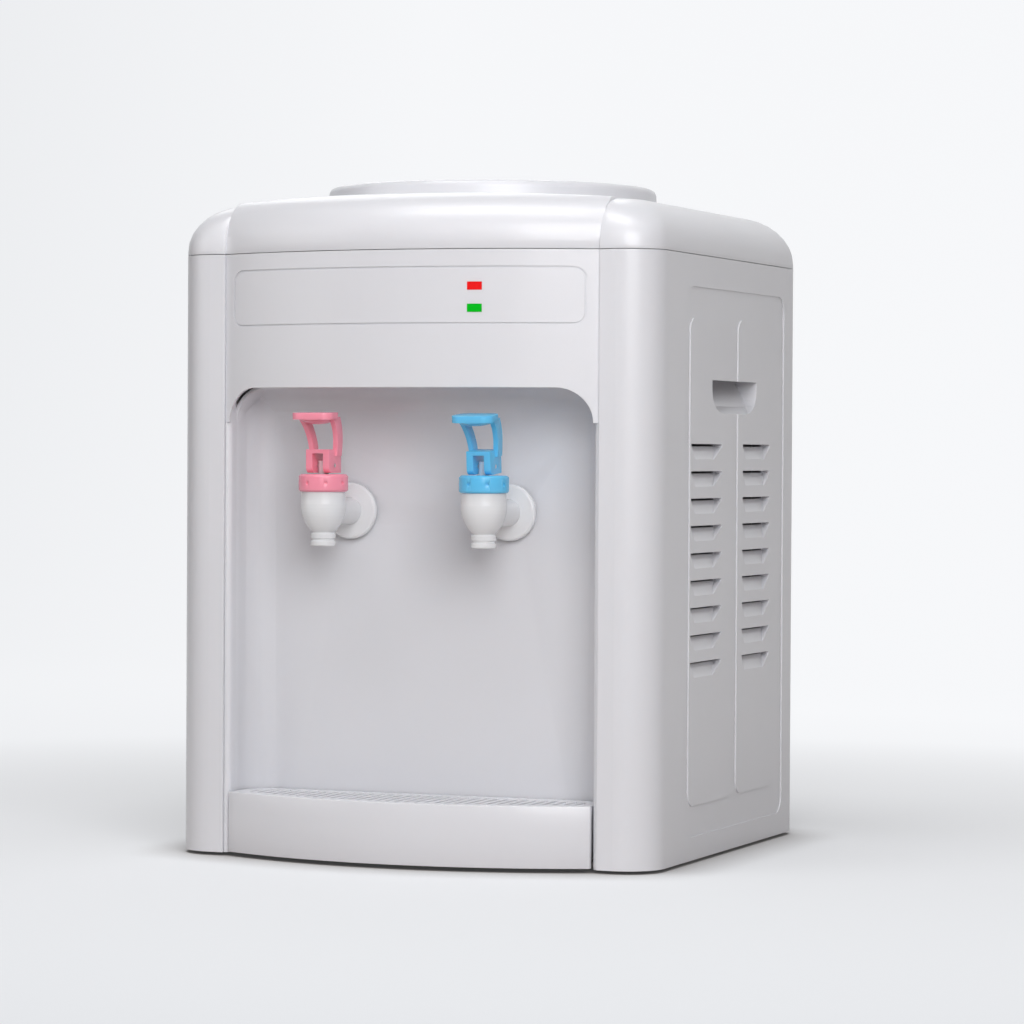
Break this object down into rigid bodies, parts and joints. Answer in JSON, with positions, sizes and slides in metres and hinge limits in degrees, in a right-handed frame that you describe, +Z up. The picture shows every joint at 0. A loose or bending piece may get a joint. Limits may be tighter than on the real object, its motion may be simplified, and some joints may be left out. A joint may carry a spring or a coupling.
{
  "type": "countertop water dispenser",
  "caption": "Boxy white countertop water dispenser with a bowed front, tap bay with a hot and a cold lever tap, drip tray, and a round bottle collar on top.",
  "frame": {"origin": "centre of the bounding box's foot, on the surface the feet stand on", "axes": "+Z up; -Y is the front, where the taps are; +X to the right seen from the front"},
  "size_m": [0.299, 0.3123, 0.396],
  "materials": {
    "white_shell": "moulded ABS, glossy",
    "white_fitting": "moulded ABS, glossy",
    "hot_pink": "moulded ABS, semi-gloss",
    "cold_blue": "moulded ABS, semi-gloss",
    "red_window": "translucent",
    "green_window": "translucent",
    "board": "glass-fibre board",
    "base_grey": "moulded PP, satin",
    "rear_white": "powder coated sheet",
    "black_rubber": "matte",
    "silicone": "translucent silicone",
    "steel": "stainless",
    "felt": "foam jacket",
    "black_plastic": "moulded PA",
    "switch_red": "glossy",
    "wire": "insulated wire"
  },
  "bodies": {
    "root": {"top_cover": "white_shell", "bottle_collar": "white_shell", "left_side_panel": "white_shell", "right_side_panel": "white_shell", "left_grip_cup": "white_shell", "right_grip_cup": "white_shell", "front_fascia": "white_shell", "bay_liner": "white_shell", "hot_tap_body": "white_fitting", "cold_tap_body": "white_fitting", "hot_backnut": "white_fitting", "cold_backnut": "white_fitting", "reservoir": "white_fitting", "drain_spout": "white_fitting", "hot_tap_nut": "hot_pink", "cold_tap_nut": "cold_blue", "red_lens": "red_window", "green_lens": "green_window", "led_board": "board", "base": "base_grey", "rear_panel": "rear_white", "feet": "black_rubber", "reservoir_gasket": "black_rubber", "hot_gasket": "black_rubber", "cold_gasket": "black_rubber", "cold_tube": "silicone", "hot_tube": "silicone", "feed_tube": "silicone", "vent_tube": "silicone", "drain_tube": "silicone", "hot_tank": "steel", "heater": "steel", "tank_stand": "steel", "hot_spring": "steel", "cold_spring": "steel", "rear_screws": "steel", "base_screws": "steel", "tank_jacket": "felt", "thermostats": "black_plastic", "switch_housing": "black_plastic", "cord_gland": "black_plastic", "wiring": "wire"},
    "hot_stem": {"hot_stem": "white_fitting", "hot_seal": "silicone"},
    "hot_lever": {"hot_lever": "hot_pink", "hot_lever_pin": "steel"},
    "cold_stem": {"cold_stem": "white_fitting", "cold_seal": "silicone"},
    "cold_lever": {"cold_lever": "cold_blue", "cold_lever_pin": "steel"},
    "drip_tray": {"drip_tray": "white_shell"},
    "drip_grid": {"drip_grid": "white_shell"},
    "bottle_seat": {"bottle_seat": "white_shell", "probe": "white_fitting"},
    "rocker": {"rocker": "switch_red"},
    "drain_washer": {"drain_washer": "black_rubber"},
    "drain_cap": {"drain_cap": "white_fitting"}
  },
  "joints": [
    {"name": "hot_stem_lift", "type": "slide", "parent": "root", "child": "hot_stem", "axis": [0, 0, 1], "range_m": [0, 0.002], "deforming": ["hot_spring"]},
    {"name": "hot_lever_press", "type": "hinge", "parent": "hot_stem", "child": "hot_lever", "pos_m": [-0.05, -0.1329, 0.2295], "axis": [1, 0, 0], "range_deg": [0, 25], "stiffness_Nm_per_rad": 0.15},
    {"name": "cold_stem_lift", "type": "slide", "parent": "root", "child": "cold_stem", "axis": [0, 0, 1], "range_m": [0, 0.0016], "deforming": ["cold_spring"]},
    {"name": "cold_lever_press", "type": "hinge", "parent": "cold_stem", "child": "cold_lever", "pos_m": [0.05, -0.1329, 0.2295], "axis": [1, 0, 0], "range_deg": [0, 20], "stiffness_Nm_per_rad": 0.15},
    {"name": "tray_slide", "type": "slide", "parent": "root", "child": "drip_tray", "axis": [0, -1, 0], "range_m": [0, 0.055]},
    {"name": "grid_lift", "type": "slide", "parent": "drip_tray", "child": "drip_grid", "axis": [0, 0, 1], "range_m": [0, 0.05]},
    {"name": "seat_lift", "type": "slide", "parent": "root", "child": "bottle_seat", "axis": [0, 0, 1], "range_m": [0, 0.08]},
    {"name": "rocker_tilt", "type": "hinge", "parent": "root", "child": "rocker", "pos_m": [0.084, 0.142, 0.062], "axis": [-1, 0, 0], "range_deg": [0, 16]},
    {"name": "washer_travel", "type": "slide", "parent": "root", "child": "drain_washer", "axis": [0, 1, 0], "range_m": [0, 0.0062]},
    {"name": "cap_unscrew", "type": "hinge", "parent": "drain_washer", "child": "drain_cap", "pos_m": [-0.07, 0.144, 0.034], "axis": [0, 1, 0], "range_deg": [0, 1080]}
  ],
  "couplings": [
    {"joint": "hot_lever_press", "follows": "hot_stem_lift", "rad_per_m": 218.17},
    {"joint": "cold_lever_press", "follows": "cold_stem_lift", "rad_per_m": 218.17},
    {"joint": "washer_travel", "follows": "cap_unscrew", "m_per_rad": 0.000326}
  ]
}
